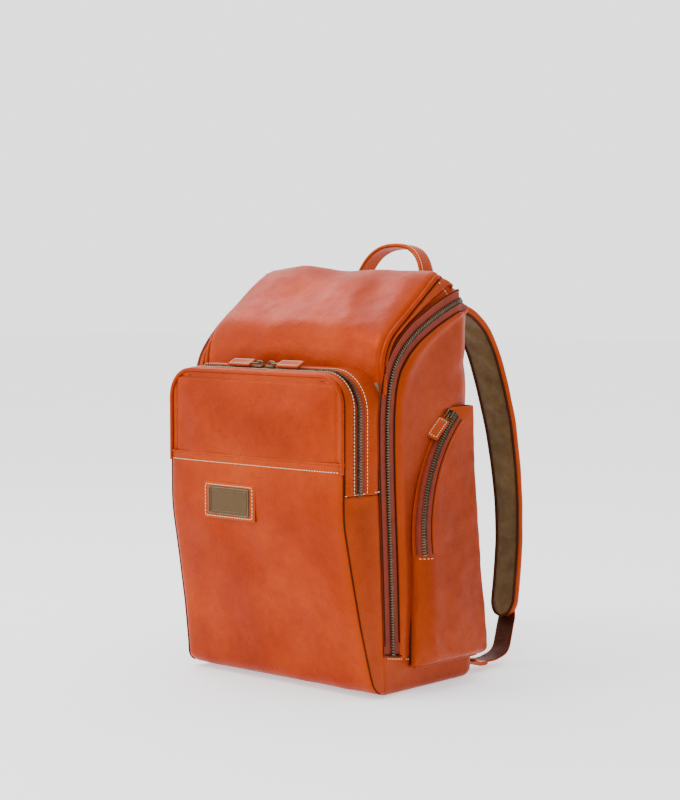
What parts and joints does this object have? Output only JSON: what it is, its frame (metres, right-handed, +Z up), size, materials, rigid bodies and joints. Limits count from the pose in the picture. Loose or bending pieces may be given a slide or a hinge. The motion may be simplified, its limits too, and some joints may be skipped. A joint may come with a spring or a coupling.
{
  "type": "backpack",
  "caption": "Tan leather backpack with a clamshell main zip, a zipped front pocket over a slip pocket, curved-zip side pockets, a carry handle and padded shoulder straps.",
  "frame": {"origin": "middle of the base, on the floor", "axes": "+Z up, -Y towards the front pocket, +X towards the wearer's left"},
  "size_m": [0.33, 0.3578, 0.4808],
  "materials": {
    "leather": "waxed, fine grain",
    "pull_leather": "waxed, fine grain",
    "zip_tape": "woven tape",
    "lining": "cotton twill",
    "canvas": "waxed canvas",
    "foam": "closed-cell padding",
    "board": "stiffener board",
    "brass": "antique"
  },
  "bodies": {
    "bag": {"base_panel": "leather", "base_board": "board", "base_wrap": "leather", "back_panel": "leather", "back_foam": "foam", "laptop_sleeve": "lining", "yoke_patch": "leather", "side_panel_right": "leather", "side_panel_left": "leather", "side_linings": "lining", "rear_zip_tape": "zip_tape", "pocket_foot": "leather", "side_pocket_face_right": "leather", "side_pocket_face_left": "leather", "side_pocket_gussets": "leather", "side_zip_tapes": "zip_tape", "strap_tabs": "leather"},
    "front_shell": {"shell_zip_tape": "zip_tape", "hood_panel": "leather", "hood_gussets": "leather", "top_strips": "leather", "top_zip_tape": "zip_tape", "slip_pocket_panel": "leather", "lower_front_panel": "leather", "slip_pocket_welts": "leather", "pocket_divider": "lining", "pocket_floor": "leather", "pocket_ceiling": "leather", "pocket_gusset_right": "leather", "pocket_gusset_left": "leather", "pocket_zip_tape": "zip_tape", "plaque_patch": "leather", "plaque_plate": "brass"},
    "pocket_flap": {"flap_panel": "leather", "flap_rim": "leather"},
    "carry_handle": {"carry_handle": "leather"},
    "strap_right": {"strap_leather_right": "leather", "strap_pad_right": "foam", "strap_lining_right": "canvas", "lower_strap_right": "leather"},
    "strap_left": {"strap_leather_left": "leather", "strap_pad_left": "foam", "strap_lining_left": "canvas", "lower_strap_left": "leather"},
    "pocket_right_slider": {"pocket_right_slider": "brass"},
    "pocket_right_pull": {"pocket_right_pull": "pull_leather"},
    "pocket_left_slider": {"pocket_left_slider": "brass"},
    "pocket_left_pull": {"pocket_left_pull": "pull_leather"},
    "main_right_slider": {"main_right_slider": "brass"},
    "main_right_pull": {"main_right_pull": "pull_leather"},
    "main_left_slider": {"main_left_slider": "brass"},
    "main_left_pull": {"main_left_pull": "pull_leather"},
    "side_right_slider": {"side_right_slider": "brass"},
    "side_right_pull": {"side_right_pull": "pull_leather"},
    "side_left_slider": {"side_left_slider": "brass"},
    "side_left_pull": {"side_left_pull": "pull_leather"},
    "top_slider": {"top_slider": "brass"},
    "top_pull": {"top_pull": "pull_leather"}
  },
  "joints": [
    {"name": "front_shell_fold", "type": "hinge", "parent": "bag", "child": "front_shell", "pos_m": [0, -0.1035, 0.049], "axis": [1, 0, 0], "range_deg": [0, 75]},
    {"name": "pocket_flap_fold", "type": "hinge", "parent": "front_shell", "child": "pocket_flap", "pos_m": [0, -0.1288, 0.2526], "axis": [1, 0, 0], "range_deg": [0, 60]},
    {"name": "carry_handle_tilt", "type": "hinge", "parent": "bag", "child": "carry_handle", "pos_m": [0, 0.096, 0.404], "axis": [1, 0, 0], "range_deg": [-25, 30]},
    {"name": "strap_right_swing", "type": "hinge", "parent": "bag", "child": "strap_right", "pos_m": [0.075, 0.0885, 0.405], "axis": [1, 0, 0], "range_deg": [-12, 10], "deforming": ["lower_strap_right"]},
    {"name": "strap_left_swing", "type": "hinge", "parent": "bag", "child": "strap_left", "pos_m": [-0.075, 0.0885, 0.405], "axis": [1, 0, 0], "range_deg": [-12, 10], "deforming": ["lower_strap_left"]},
    {"name": "pocket_right_zip_run", "type": "slide", "parent": "front_shell", "child": "pocket_right_slider", "axis": [1, 0, 0], "range_m": [0, 0.075]},
    {"name": "pocket_right_pull_lift", "type": "hinge", "parent": "pocket_right_slider", "child": "pocket_right_pull", "pos_m": [0.009, -0.1128, 0.3507], "axis": [0, -1, 0], "range_deg": [0, 90]},
    {"name": "pocket_left_zip_run", "type": "slide", "parent": "front_shell", "child": "pocket_left_slider", "axis": [-1, 0, 0], "range_m": [0, 0.075]},
    {"name": "pocket_left_pull_lift", "type": "hinge", "parent": "pocket_left_slider", "child": "pocket_left_pull", "pos_m": [-0.009, -0.1128, 0.3507], "axis": [0, 1, 0], "range_deg": [0, 90]},
    {"name": "main_right_zip_run", "type": "slide", "parent": "bag", "child": "main_right_slider", "axis": [1, 0, 0], "range_m": [0, 0.07]},
    {"name": "main_right_pull_lift", "type": "hinge", "parent": "main_right_slider", "child": "main_right_pull", "pos_m": [0.009, 0.0683, 0.42403], "axis": [0, -0.8329, 0.5534], "range_deg": [0, 90]},
    {"name": "main_left_zip_run", "type": "slide", "parent": "bag", "child": "main_left_slider", "axis": [-1, 0, 0], "range_m": [0, 0.07]},
    {"name": "main_left_pull_lift", "type": "hinge", "parent": "main_left_slider", "child": "main_left_pull", "pos_m": [-0.009, 0.0683, 0.42403], "axis": [0, 0.8329, -0.5534], "range_deg": [0, 90]},
    {"name": "side_right_zip_run", "type": "hinge", "parent": "bag", "child": "side_right_slider", "pos_m": [0, 0.13108, 0.1687], "axis": [1, 0, 0], "range_deg": [0, 48]},
    {"name": "side_right_pull_lift", "type": "hinge", "parent": "side_right_slider", "child": "side_right_pull", "pos_m": [0.1463, 0.01945, 0.29743], "axis": [-1, 0, 0], "range_deg": [0, 90]},
    {"name": "side_left_zip_run", "type": "hinge", "parent": "bag", "child": "side_left_slider", "pos_m": [0, 0.13108, 0.1687], "axis": [1, 0, 0], "range_deg": [0, 48]},
    {"name": "side_left_pull_lift", "type": "hinge", "parent": "side_left_slider", "child": "side_left_pull", "pos_m": [-0.1463, 0.01945, 0.29743], "axis": [-1, 0, 0], "range_deg": [0, 90]},
    {"name": "top_zip_run", "type": "slide", "parent": "front_shell", "child": "top_slider", "axis": [1, 0, 0], "range_m": [0, 0.17]},
    {"name": "top_pull_lift", "type": "hinge", "parent": "top_slider", "child": "top_pull", "pos_m": [-0.104, 0.03801, 0.44368], "axis": [0, -0.8329, 0.5534], "range_deg": [0, 90]}
  ]
}
